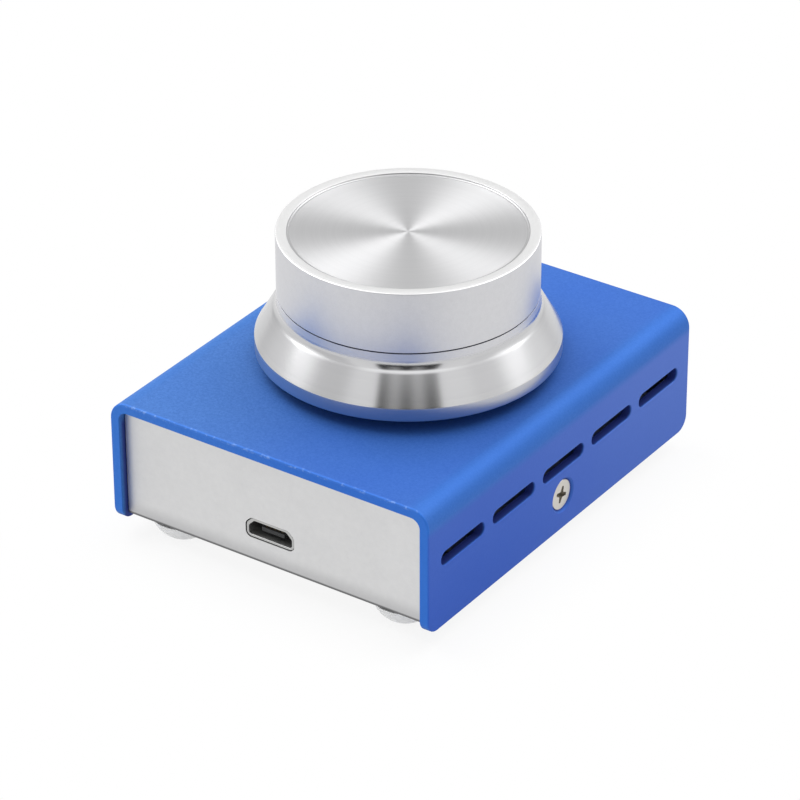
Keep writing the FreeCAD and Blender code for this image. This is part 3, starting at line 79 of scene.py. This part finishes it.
class Finish:
    """The nodes of one material, or of the world, with its shader in the middle."""

    def __init__(self, name, data=None):
        self.data = data or bpy.data.materials.new(name)
        self.data.use_nodes = True
        self.tree = self.data.node_tree
        self.tree.nodes.clear()

    def node(self, kind, settings=None, sockets=None, output=0):
        """Add a node: its settings first, then the values or links of its sockets."""
        made = self.tree.nodes.new(kind)
        for name, setting in (settings or {}).items():
            setattr(made, name, setting)
        for key, entry in (sockets or {}).items():
            if isinstance(entry, Value):
                self.tree.links.new(entry.socket, made.inputs[key])
            else:
                made.inputs[key].default_value = entry
        return Value(self, made.outputs[output]) if made.outputs else made

    def maths(self, operation, *terms):
        """Work out one sum on values and numbers."""
        return self.node("ShaderNodeMath", {"operation": operation}, dict(enumerate(terms)))

    def place(self):
        """Where a point is on the piece, in metres."""
        return self.node("ShaderNodeTexCoord", None, None, "Object")

    def axes(self, place):
        """Split a place or a direction into its three values."""
        split = self.node("ShaderNodeSeparateXYZ", None, {0: place}).socket.node
        return [Value(self, output) for output in split.outputs]

    def stretch(self, place, x=1, y=1, z=1):
        """Scale a place, so that a pattern on it runs longer one way."""
        return self.node(
            "ShaderNodeVectorMath", {"operation": "MULTIPLY"}, {0: place, 1: (x, y, z)}, "Vector"
        )

    def noise(self, place, size, detail=3, roughness=0.5):
        """Cloudy noise from 0 to 1, with features about as large as size, in millimetres."""
        scale = 1 / (size * MILLIMETRE)
        sockets = {"Vector": place, "Scale": scale, "Detail": detail, "Roughness": roughness}
        return self.node("ShaderNodeTexNoise", None, sockets, "Fac")

    def step(self, value, low, high):
        """Rise smoothly from 0 at low to 1 at high. Low may be the larger of the two."""
        sockets = {"Value": value, "From Min": low, "From Max": high}
        return self.node("ShaderNodeMapRange", {"interpolation_type": "SMOOTHSTEP"}, sockets)

    def mix(self, factor, first, second):
        """Blend two colours."""
        sockets = {0: factor, 6: first, 7: second}
        return self.node("ShaderNodeMix", {"data_type": "RGBA"}, sockets, 2)

    def bump(self, height, depth):
        """Raise the surface where height is 1 by depth, in millimetres."""
        sockets = {"Height": height, "Distance": depth * MILLIMETRE}
        return self.node("ShaderNodeBump", None, sockets)

    def shader(self, **sockets):
        """Add the surface shader; a socket's name has _ for a space."""
        named = {key.replace("_", " "): entry for key, entry in sockets.items()}
        return self.node("ShaderNodeBsdfPrincipled", None, named)

    def show(self, shader):
        """Make a shader the finish's surface."""
        kind = "World" if isinstance(self.data, bpy.types.World) else "Material"
        self.node("ShaderNodeOutput" + kind, None, {"Surface": shader})
        return self.data


def colour(red, green, blue):
    """A colour as it looks on the screen, 0 to 255 each, turned into amounts of light."""
    light = []
    for part in (red, green, blue):
        share = part / 255
        light.append(share / 12.92 if share <= 0.04045 else ((share + 0.055) / 1.055) ** 2.4)
    return (*light, 1)


def dress(material, *names):
    """Give a finish to pieces of the frame."""
    for name in names:
        data = nodes[name].data
        data.materials.clear()
        data.materials.append(material)


chassis_low, chassis_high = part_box("base_chassis")


def sheet_metal():
    """Satin sheet, brushed lengthways, with cloudy handling marks and painted shade along the
    lower folds.
    """
    finish = Finish("satin_sheet")
    place = finish.place()
    y, z = finish.axes(place)[1:]
    brushed = finish.noise(finish.stretch(place, x=0.08), 0.12, 2)
    clouds = finish.noise(place, 7, 4, 0.6)
    marks = finish.noise(place, 0.9, 5, 0.75)
    end = finish.step(abs(y), chassis_high[1] - 1.6 * MILLIMETRE, chassis_high[1])
    rise = z - chassis_low[2]
    # Painted shade: the end panels darken towards their lower fold, and a painted dark line runs
    # along the fold itself.
    dull_stain_and_painted_shade = finish.step(rise, 3.2 * MILLIMETRE, 0.6 * MILLIMETRE) * end
    painted_fold_shadow = finish.step(rise, 0.75 * MILLIMETRE, 0.5 * MILLIMETRE) * end
    tone = finish.mix(clouds * 0.5 + marks * 0.5, colour(202, 202, 203), colour(228, 228, 228))
    tone = finish.mix(dull_stain_and_painted_shade * 0.4, tone, colour(150, 150, 152))
    tone = finish.mix(painted_fold_shadow * 0.8, tone, colour(70, 70, 72))
    roughness = 0.34 + brushed * 0.08 + clouds * 0.1
    normal = finish.bump(brushed * 0.4 + marks, 0.012)
    return finish.show(
        finish.shader(Base_Color=tone, Metallic=1, Roughness=roughness, Normal=normal)
    )


dress(sheet_metal(), "base_chassis")


# Clinch nuts and standoffs: turned, plated, and pressed into the chassis before the board
# goes in. Only their ends show, in the floor and through the vent slots.


def turned_metal(name, tone, roughness, grain=0.15):
    """Machined and plated metal: fine grain, in millimetres, in colour, gloss and relief."""
    finish = Finish(name)
    place = finish.place()
    cut_grain_and_painted_shade = finish.noise(place, grain, 3)
    stain = finish.noise(place, grain * 12, 4)
    dull_stain_and_painted_shade = tuple(part * 0.86 for part in tone[:3]) + (1,)
    blend = finish.mix(stain * 0.7 + cut_grain_and_painted_shade * 0.3, dull_stain_and_painted_shade, tone)
    normal = finish.bump(cut_grain_and_painted_shade, grain * 0.04)
    return finish.show(
        finish.shader(
            Base_Color=blend, Metallic=1, Roughness=roughness + stain * 0.12, Normal=normal
        )
    )


zinc_plate = turned_metal("zinc_plate", colour(204, 206, 210), 0.28)
dress(zinc_plate, "cover_nut_left", "cover_nut_right")
dress(turned_metal("nickel_brass", colour(208, 204, 190), 0.24), "board_standoffs")


# Circuit board: dark laminate with copper tracks under its lacquer, held by four pan head
# screws. It hides in the case and shows only as darkness in the vent slots.

TRACKS_PER_METRE = 420.0


def laminate():
    """Lacquered laminate: a faint weave, and copper tracks that stand a little proud."""
    finish = Finish("dark_laminate")
    place = finish.place()
    weave = finish.noise(finish.stretch(place, z=0), 0.4, 2)
    edges = finish.node(
        "ShaderNodeTexVoronoi",
        {"feature": "DISTANCE_TO_EDGE", "distance": "MANHATTAN"},
        {"Vector": place, "Scale": TRACKS_PER_METRE},
        "Distance",
    )
    copper = 1 - finish.step(edges, 0.03, 0.05)
    tone = finish.mix(copper * 0.7 + weave * 0.2, colour(20, 28, 70), colour(34, 52, 104))
    normal = finish.bump(copper + weave * 0.2, 0.03)
    return finish.show(finish.shader(Base_Color=tone, Roughness=0.3 + weave * 0.2, Normal=normal))


dress(laminate(), "circuit_board")
dress(turned_metal("nickel_plate", colour(206, 203, 196), 0.26), "board_screws")


# Board parts: the controller and regulator in moulded epoxy, a drawn crystal can, an
# electrolytic capacitor, and rows of ceramic chips, all soldered on by tinned leads.


def moulded(name, tone, roughness, grain=0.12, depth=0.006):
    """Moulded plastic or epoxy: a fine even grain, in millimetres, and slightly uneven gloss."""
    finish = Finish(name)
    place = finish.place()
    sand = finish.noise(place, grain, 2)
    flow = finish.noise(place, grain * 25, 3)
    pale = tuple(part + (1 - part) * 0.05 for part in tone[:3]) + (1,)
    blend = finish.mix(sand * 0.5 + flow * 0.5, tone, pale)
    normal = finish.bump(sand, depth)
    return finish.show(
        finish.shader(Base_Color=blend, Roughness=roughness + flow * 0.15, Normal=normal)
    )


dress(moulded("epoxy", colour(34, 34, 36), 0.45), "controller_chip", "voltage_regulator")
dress(moulded("ceramic", colour(168, 140, 108), 0.4), "chip_capacitors")
dress(moulded("glaze", colour(38, 40, 44), 0.3), "chip_resistors")
dress(moulded("black_nylon", colour(26, 26, 28), 0.42), "capacitor_base", "encoder_base")
tin = turned_metal("tin", colour(214, 214, 212), 0.3)
dress(tin, "chip_leads", "regulator_leads", "encoder_pins")
dress(turned_metal("drawn_steel", colour(206, 206, 206), 0.22, 0.3), "crystal_can")
dress(turned_metal("drawn_aluminium", colour(214, 214, 216), 0.3, 0.3), "capacitor_can")


# Socket: a bright plated shell soldered under the board's front edge, round a black tongue
# that carries five gilt contacts.

dress(turned_metal("bright_plate", colour(196, 196, 195), 0.42, 0.2), "usb_shell")
dress(moulded("tongue_nylon", colour(20, 22, 27), 0.52), "usb_tongue")
dress(turned_metal("gilt", colour(226, 190, 120), 0.2, 0.1), "usb_contacts")


# Encoder: a cast housing with its threaded bushing, a steel frame round it, and inside a
# moulded code wheel, bronze springs and wipers, and the ground shaft with its ring.

dress(turned_metal("cast_zinc", colour(186, 186, 190), 0.38, 0.3), "encoder_housing")
dress(turned_metal("tinned_steel", colour(204, 204, 202), 0.3, 0.2), "encoder_frame")
dress(moulded("acetal", colour(222, 216, 202), 0.35), "encoder_rotor")
bronze = turned_metal("bronze", colour(206, 160, 110), 0.26, 0.1)
dress(bronze, "detent_spring", "contact_wipers", "switch_contacts")
spring_steel = turned_metal("spring_steel", colour(196, 196, 198), 0.24, 0.1)
dress(spring_steel, "switch_dome", "retaining_ring")
dress(turned_metal("ground_steel", colour(202, 200, 196), 0.2, 0.1), "encoder_shaft")


# Spacer, washer and nut: they clamp the encoder's bushing in the cover. The spacer hides
# inside, and the nut and washer show only from the side, in the gap under the knob.

dress(moulded("black_fibre", colour(40, 38, 36), 0.7, 0.2, 0.01), "encoder_spacer")
dress(turned_metal("nut_plate", colour(206, 204, 198), 0.25), "encoder_nut", "encoder_washer")


# Cover: an inverted channel of aluminium sheet, blasted with fine beads and anodised blue.
# The dye is paler along its worn front edge, and painted shade darkens the inner faces of the
# side walls.

cover_low, cover_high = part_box("top_cover")


def anodised():
    """Blasted and dyed sheet: a fine grain and a worn edge, with painted light paling the side
    walls to the rear, a painted sheen on the bends, and painted shade inside and to the right.
    """
    finish = Finish("blue_anodising")
    place = finish.place()
    x, y, z = finish.axes(place)
    side_face, end_face, top_face = cover_high
    grain = finish.noise(place, 0.14, 2, 0.6)
    speck = finish.noise(place, 0.34, 2)
    clouds = finish.noise(place, 13, 2)

    front_face = cover_low[1]
    front = finish.step(y, front_face + 0.45 * MILLIMETRE, front_face + 0.05 * MILLIMETRE)
    top = finish.step(z, top_face - 0.5 * MILLIMETRE, top_face - 0.1 * MILLIMETRE)
    knocks = finish.step(finish.noise(place, 0.7, 3, 0.7), 0.52, 0.64)
    worn = front * top * (0.12 + knocks)

    across = abs(x)
    below = finish.step(z, top_face - 2.5 * MILLIMETRE, top_face - 4 * MILLIMETRE)
    side = below * finish.step(across, side_face - 0.3 * MILLIMETRE, side_face)
    # Painted shade: the inner faces of the side walls and the deeper part of their slots are
    # coloured dark navy.
    cut_grain_and_painted_shade = below * finish.step(
        across, side_face - 0.1 * MILLIMETRE, side_face - 0.4 * MILLIMETRE
    )
    cut_grain_and_painted_shade = cut_grain_and_painted_shade * finish.step(abs(y), end_face - 0.3 * MILLIMETRE, end_face - 1 * MILLIMETRE)
    # Painted light: the side walls turn paler and more purple towards the rear and the top.
    painted_side_light = 0.7 * finish.step(y, -28 * MILLIMETRE, 34 * MILLIMETRE)
    painted_side_light = painted_side_light + 0.3 * finish.step(z, cover_low[2], top_face)
    painted_side_light_tone = finish.mix(painted_side_light, colour(46, 78, 184), colour(100, 124, 204))

    dye = finish.mix(grain * 0.5 + speck * 0.5, colour(30, 80, 150), colour(95, 147, 219))
    # Painted shade: the cover darkens towards its right.
    painted_shade_right = finish.step(x, -20 * MILLIMETRE, 14 * MILLIMETRE)
    # Painted sheen: the bends and side walls turn a greener blue.
    painted_bend_sheen = finish.step(across, side_face - 4 * MILLIMETRE, side_face - 2 * MILLIMETRE)
    aged = finish.mix(0.2 * clouds + 0.42 * painted_shade_right, dye, colour(34, 85, 184))
    aged = finish.mix(painted_bend_sheen * 0.3, aged, colour(50, 118, 200))
    aged = finish.mix(front * 0.5, aged, colour(46, 122, 226))
    aged = finish.mix(side * 0.6, aged, painted_side_light_tone)
    aged = finish.mix(cut_grain_and_painted_shade * 0.8, aged, colour(44, 46, 128))
    tone = finish.mix(worn * 0.6, aged, colour(136, 170, 224))
    normal = finish.bump(grain * 0.5 + speck * 0.5, 0.02)
    return finish.show(
        finish.shader(
            Base_Color=tone,
            Metallic=0.45,
            Roughness=0.58 + clouds * 0.04 + grain * 0.05,
            Specular_IOR_Level=0.25,
            Normal=normal,
        )
    )


dress(anodised(), "top_cover")


# Side screws: countersunk, cross recessed and nickel plated, one in each side wall. They
# close the case by drawing the cover's walls against the nuts in the chassis flanges.

screw_plate = turned_metal("screw_plate", colour(212, 208, 200), 0.3, 0.1)
dress(screw_plate, "cover_screw_left", "cover_screw_right")


# Feet: half-round bumpers of clear soft silicone, stuck under the chassis near its corners.
# They are moulded, so they are a little hazy inside and glossy outside.


def silicone():
    """Milky clear silicone under a glossy skin."""
    finish = Finish("clear_silicone")
    haze = finish.noise(finish.place(), 0.8, 3)
    tone = finish.mix(haze, colour(240, 241, 242), colour(252, 252, 252))
    normal = finish.bump(haze, 0.01)
    return finish.show(
        finish.shader(
            Base_Color=tone,
            Roughness=0.45 + haze * 0.15,
            Transmission_Weight=0.1,
            IOR=1.41,
            Coat_Weight=0.7,
            Coat_Roughness=0.15,
            Normal=normal,
        )
    )


dress(silicone(), "foot_front_left", "foot_front_right", "foot_rear_left", "foot_rear_right")


# Knob: turned from solid aluminium bar, hollow below to clear the nut, and bored for its brass
# insert. The dish, the hollow and the cone are cut bright, and the walls are blasted matt.

knob_low, knob_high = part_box("knob_body")
KNOB_AXIS = (Vector(knob_low) + Vector(knob_high)) / 2

# Sizes in millimetres: radii are from the axis, and rises are above the knob's foot.
DISH_RADIUS = 15.908
DISH_RISE = 17.38
DISH_SAG = 0.04
DISH_RINGS = 16
RIM_RISE = 17.7
WALL_RADIUS = 18.0
WALL_ROUNDING = 0.15
LINE_RISE = 8.6
LINE_DEPTH = 0.2
HOLLOW_RADIUS = 1.7
CONE_TOP = (18.82, 5.87)
CONE_FOOT = (21.02, 2.08)
BAND_RADIUS = 21.1
CLEARANCE_RADIUS = 8.97
CLEARANCE_RISE = 3.2
BORE_RADIUS = 4.52
BORE_RISE = 11.3


def arc(middle, radius, start, end, steps):
    """Points along an arc, between two angles in degrees."""
    points = []
    for step in range(steps + 1):
        angle = math.radians(start + (end - start) * step / steps)
        out = middle[0] + radius * math.cos(angle)
        rise = middle[1] + radius * math.sin(angle)
        points.append((out, rise))
    return points


def knob_outline():
    """Half of the knob's section, from the middle of the dish to the top of the bore."""
    dish = []
    for ring in range(DISH_RINGS + 1):
        share = ring / DISH_RINGS
        dish.append((DISH_RADIUS * share, DISH_RISE + DISH_SAG * share**2))
    lip = arc((16.15, 17.72), 0.3, -70, -10, 5) + arc((16.53, 17.61), 0.09, 180, 90, 3)
    shoulder = arc(
        (WALL_RADIUS - WALL_ROUNDING, RIM_RISE - WALL_ROUNDING), WALL_ROUNDING, 90, 0, 5
    )
    line = [
        (WALL_RADIUS, LINE_RISE + 0.2),
        (WALL_RADIUS - LINE_DEPTH, LINE_RISE + 0.14),
        (WALL_RADIUS - LINE_DEPTH, LINE_RISE + 0.06),
        (WALL_RADIUS, LINE_RISE),
    ]
    hollow = arc((WALL_RADIUS + HOLLOW_RADIUS, 7.404), HOLLOW_RADIUS, 180, 225, 12)
    cone = [CONE_TOP, CONE_FOOT]
    band = arc((BAND_RADIUS - 0.1, 1.95), 0.1, 30, 0, 3)
    band += arc((BAND_RADIUS - 0.2, 0.2), 0.2, 0, -90, 5)
    below = [
        (CLEARANCE_RADIUS, 0),
        (CLEARANCE_RADIUS, CLEARANCE_RISE),
        (BORE_RADIUS, CLEARANCE_RISE),
        (BORE_RADIUS, BORE_RISE),
        (0, BORE_RISE),
    ]
    return dish + lip + shoulder + line + hollow + cone + band + below


def spin(name, outline, turns=240):
    """Sweep an outline that starts and ends on the upright axis into a closed mesh."""
    walls = outline[1:-1]
    count = len(walls)
    points = [(0, 0, outline[0][1]), (0, 0, outline[-1][1])]
    faces = []
    for turn in range(turns):
        angle = math.tau * turn / turns
        points += [(out * math.cos(angle), out * math.sin(angle), rise) for out, rise in walls]
        here = 2 + turn * count
        there = 2 + (turn + 1) % turns * count
        faces.append((0, here, there))
        faces += [
            (here + step, here + step + 1, there + step + 1, there + step)
            for step in range(count - 1)
        ]
        faces.append((1, there + count - 1, here + count - 1))
    mesh = bpy.data.meshes.new(name)
    mesh.from_pydata([[MILLIMETRE * part for part in point] for point in points], [], faces)
    mesh.shade_smooth()
    mesh.set_sharp_from_angle(angle=math.radians(28))
    made = bpy.data.objects.new(name, mesh)
    bpy.context.collection.objects.link(made)
    return made


def turned_knob():
    """Bright turned cuts in the dish, the hollow and the cone, and blasted walls and band, with
    painted shade on the dish's lip and in the groove, and a paler painted rim.
    """
    finish = Finish("turned_knob")
    place = finish.place()
    x, y, z = finish.axes(place)
    radius = (x * x + y * y) ** 0.5
    along = finish.node("ShaderNodeCombineXYZ", None, {0: radius, 1: 0.0, 2: z})
    cuts = finish.noise(along, 0.16, 3, 0.7)
    bands = finish.noise(along, 0.8, 2)
    sand = finish.noise(place, 0.16, 2)
    blot = finish.noise(place, 0.8, 4, 0.7)

    def outside(low, high):
        return finish.step(radius, low * MILLIMETRE, high * MILLIMETRE)

    def above(low, high):
        return finish.step(z, low * MILLIMETRE, high * MILLIMETRE)

    top = above(16, 16.5)
    dished = top * outside(16.1, 16.0)
    lip = top * (1 - dished) * outside(16.54, 16.4)
    line = outside(17.99, 17.94) * (1 - top)
    line = line * above(8.5, 8.6)
    wall = above(7.1, 7.7)
    band = above(2.0, 1.9)
    painted_rim_light = above(17.64, 17.69) * (1 - dished)
    matt = (wall + band) * (1 - dished)

    streaks = cuts * 0.6 + bands * 0.4
    cut_tone = finish.mix(streaks, colour(190, 190, 192), colour(206, 206, 207))
    dish_tone = finish.mix(streaks, colour(191, 191, 192), colour(208, 208, 209))
    wall_tone = finish.mix(sand * 0.4 + blot * 0.6, colour(200, 200, 203), colour(222, 222, 224))
    wall_tone = finish.mix(band * 0.7, wall_tone, colour(184, 184, 188))
    # Painted light: the top rim is paler than the blasted walls.
    wall_tone = finish.mix(painted_rim_light, wall_tone, colour(230, 230, 230))
    # Painted shade: the lip round the dish is darker than the walls.
    wall_tone = finish.mix(lip, wall_tone, colour(180, 180, 181))
    # Painted shade: the scribed groove is dark grey-blue.
    wall_tone = finish.mix(line, wall_tone, colour(96, 98, 118))
    turned = finish.shader(
        Base_Color=finish.mix(dished, cut_tone, dish_tone),
        Metallic=1,
        Roughness=0.16 + dished * 0.26 + cuts * 0.03,
        Anisotropic=0.8,
        Anisotropic_Rotation=0.25,
        Normal=finish.bump(cuts, 0.0012),
    )
    blasted = finish.shader(
        Base_Color=wall_tone,
        Metallic=1,
        Roughness=0.38 + sand * 0.05 - band * 0.08,
        Normal=finish.bump(sand, 0.006),
    )
    return finish.show(finish.node("ShaderNodeMixShader", None, {0: matt, 1: turned, 2: blasted}))


knob = spin("knob", knob_outline())
knob.location = (KNOB_AXIS.x, KNOB_AXIS.y, knob_low[2])
knob.data.materials.append(turned_knob())
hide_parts("knob_body")
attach(knob, "knob")
dress(turned_metal("brass", colour(222, 184, 110), 0.25), "knob_insert")


# Studio: a pale floor that fades to white, a soft white room with a dark gap behind the
# camera, and two soft boxes behind the object, left and right.

CAMERA_TURN = math.radians(34.67)
CAMERA_RISE = math.radians(30.64)
CAMERA_ROLL = math.radians(-0.21)
CAMERA_PLACE = Vector((-0.0146, 0.1928, 11.378))
LENS_LENGTH = 191
FLOOR_HALF = 2.0
COVER_WIDTH = cover_high[0] - cover_low[0]
COVER_BOTTOM = cover_low[2]
LAMP_AIM = Vector((0, 0, 0.02))
right = Vector((math.cos(CAMERA_TURN), math.sin(CAMERA_TURN), 0))
towards = Vector((math.sin(CAMERA_TURN), -math.cos(CAMERA_TURN), 0))
back = towards * math.cos(CAMERA_RISE) + Vector((0, 0, math.sin(CAMERA_RISE)))
up = back.cross(right)
BACKGROUND_RAYS = ("Is Camera Ray", "Is Glossy Ray", "Is Transmission Ray")


def studio_floor():
    """Pale matt floor that looks white itself and keeps a shadow round the cover."""
    corners = [(-FLOOR_HALF, -FLOOR_HALF, 0), (FLOOR_HALF, -FLOOR_HALF, 0)]
    corners += [(FLOOR_HALF, FLOOR_HALF, 0), (-FLOOR_HALF, FLOOR_HALF, 0)]
    mesh = bpy.data.meshes.new("floor")
    mesh.from_pydata(corners, [], [(0, 1, 2, 3)])
    floor = bpy.data.objects.new("floor", mesh)
    bpy.context.collection.objects.link(floor)
    finish = Finish("pale_floor")
    x, y = finish.axes(finish.place())[:2]
    side = abs(x) - cover_high[0]
    end = abs(y) - cover_high[1]
    outside = finish.maths("MAXIMUM", side, end)
    path = finish.node("ShaderNodeLightPath").socket.node
    seen = sum(Value(finish, path.outputs[ray]) for ray in BACKGROUND_RAYS)
    seen = finish.maths("MINIMUM", seen, 1.0)
    fade = 0.86 + 0.14 * finish.step(outside, -4 * MILLIMETRE, 12 * MILLIMETRE)
    matt = finish.shader(Base_Color=(0.9, 0.9, 0.9, 1), Roughness=0.8)
    white = finish.node("ShaderNodeEmission", None, {"Color": (1, 1, 1, 1), "Strength": 1.0})
    mesh.materials.append(
        finish.show(finish.node("ShaderNodeMixShader", None, {0: seen * fade, 1: matt, 2: white}))
    )


def studio_room():
    """White room. Its angles are in degrees, from the camera's side round to the right."""
    world = bpy.data.worlds.new("studio")
    bpy.context.scene.world = world
    room = Finish("studio", world)
    direction = room.node("ShaderNodeTexCoord", None, None, "Generated")
    x, y, z = room.axes(direction)
    facing = x * towards.x + y * towards.y
    aside = x * right.x + y * right.y
    azimuth = room.maths("ARCTAN2", aside, facing)
    spread = abs(azimuth)

    def past(angle, low, high):
        return room.step(angle, math.radians(low), math.radians(high))

    # The gap behind the camera is dark, faintly striped higher up, and closed overhead.
    stripes = azimuth * 18 + 5.34
    stripes = 0.5 + 0.5 * room.maths("SINE", stripes)
    gap = past(spread, 28, 24) * (1 - room.step(z, 0.64, 0.8))
    gap = gap * (1 - 0.32 * stripes * room.step(z, 0.2, 0.36))

    # The walls beside it are a little duller, most of all at the front left.
    wings = past(spread, 48, 58)
    shade = past(azimuth, -44, -54) * past(azimuth, -98, -76)
    studio = (1 - 0.98 * gap) * (1.04 - 0.1 * wings - 0.14 * shade)

    # Overhead the room is bright on the camera's side, and dim behind the object.
    front = room.step(facing, -0.25, 0.3)
    studio = studio + room.step(z, 0.7, 0.86) * (front * 0.95 - 0.4)

    # Both flanks are brighter from about 20 degrees up, the right one a little below that too,
    # and the wall behind the object is dimmer.
    flanks = past(spread, 72, 92) * room.step(z, 0.28, 0.42) * past(spread, 140, 120)
    low_right = past(azimuth, 60, 90) * room.step(z, 0.45, 0.38)
    behind = room.step(facing, -0.45, -0.8) * room.step(z, 0.72, 0.56)
    studio = (studio + 0.6 * flanks + 0.12 * low_right) * (1 - 0.2 * behind)

    # Metal and clear pieces mirror the room, matt ones take its plain light, and the camera
    # itself sees white.
    path = room.node("ShaderNodeLightPath").socket.node
    camera_ray = Value(room, path.outputs["Is Camera Ray"])
    other_rays = sum(Value(room, path.outputs[ray]) for ray in BACKGROUND_RAYS[1:])
    other_rays = room.maths("MINIMUM", other_rays, 1.0)
    plain = 0.48 + 0.2 * room.step(facing, -0.3, 0.5)
    lit = studio * other_rays + plain * (1 - other_rays)
    strength = camera_ray + (1 - camera_ray) * lit
    sockets = {"Color": (1, 1, 1, 1), "Strength": strength}
    room.show(room.node("ShaderNodeBackground", None, sockets))


def soft_box(name, side, behind, rise, size, power):
    """Hang a square lamp that looks at the object from a side, from behind and from above."""
    lamp = bpy.data.lights.new(name, "AREA")
    lamp.shape = "SQUARE"
    lamp.size = size
    lamp.energy = power
    lamp.color = (1, 1, 1)
    hung = bpy.data.objects.new(name, lamp)
    bpy.context.collection.objects.link(hung)
    hung.location = LAMP_AIM + right * side - towards * behind + Vector((0, 0, rise))
    hung.rotation_euler = (hung.location - LAMP_AIM).to_track_quat("Z", "Y").to_euler()


studio_floor()
studio_room()
soft_box("soft_box_left", side=-0.31, behind=0.19, rise=0.42, size=0.42, power=2.1)
soft_box("soft_box_right", side=0.38, behind=0.24, rise=0.52, size=0.5, power=2.5)

# The camera has a long lens. Its place is given in cover widths along its own right, up and
# back, from the point under the cover's middle that is level with its lower edges.
lens = bpy.data.cameras.new("camera")
lens.sensor_fit = "HORIZONTAL"
lens.sensor_width = 36
lens.lens = LENS_LENGTH
camera = bpy.data.objects.new("camera", lens)
bpy.context.collection.objects.link(camera)
roll = Matrix.Rotation(CAMERA_ROLL, 3, "Z")
turn = Matrix((right, up, back)).transposed() @ roll
offset = turn @ CAMERA_PLACE * COVER_WIDTH
camera.matrix_world = Matrix.Translation(offset + Vector((0, 0, COVER_BOTTOM))) @ turn.to_4x4()
bpy.context.scene.camera = camera
bpy.context.scene.view_settings.view_transform = "Standard"
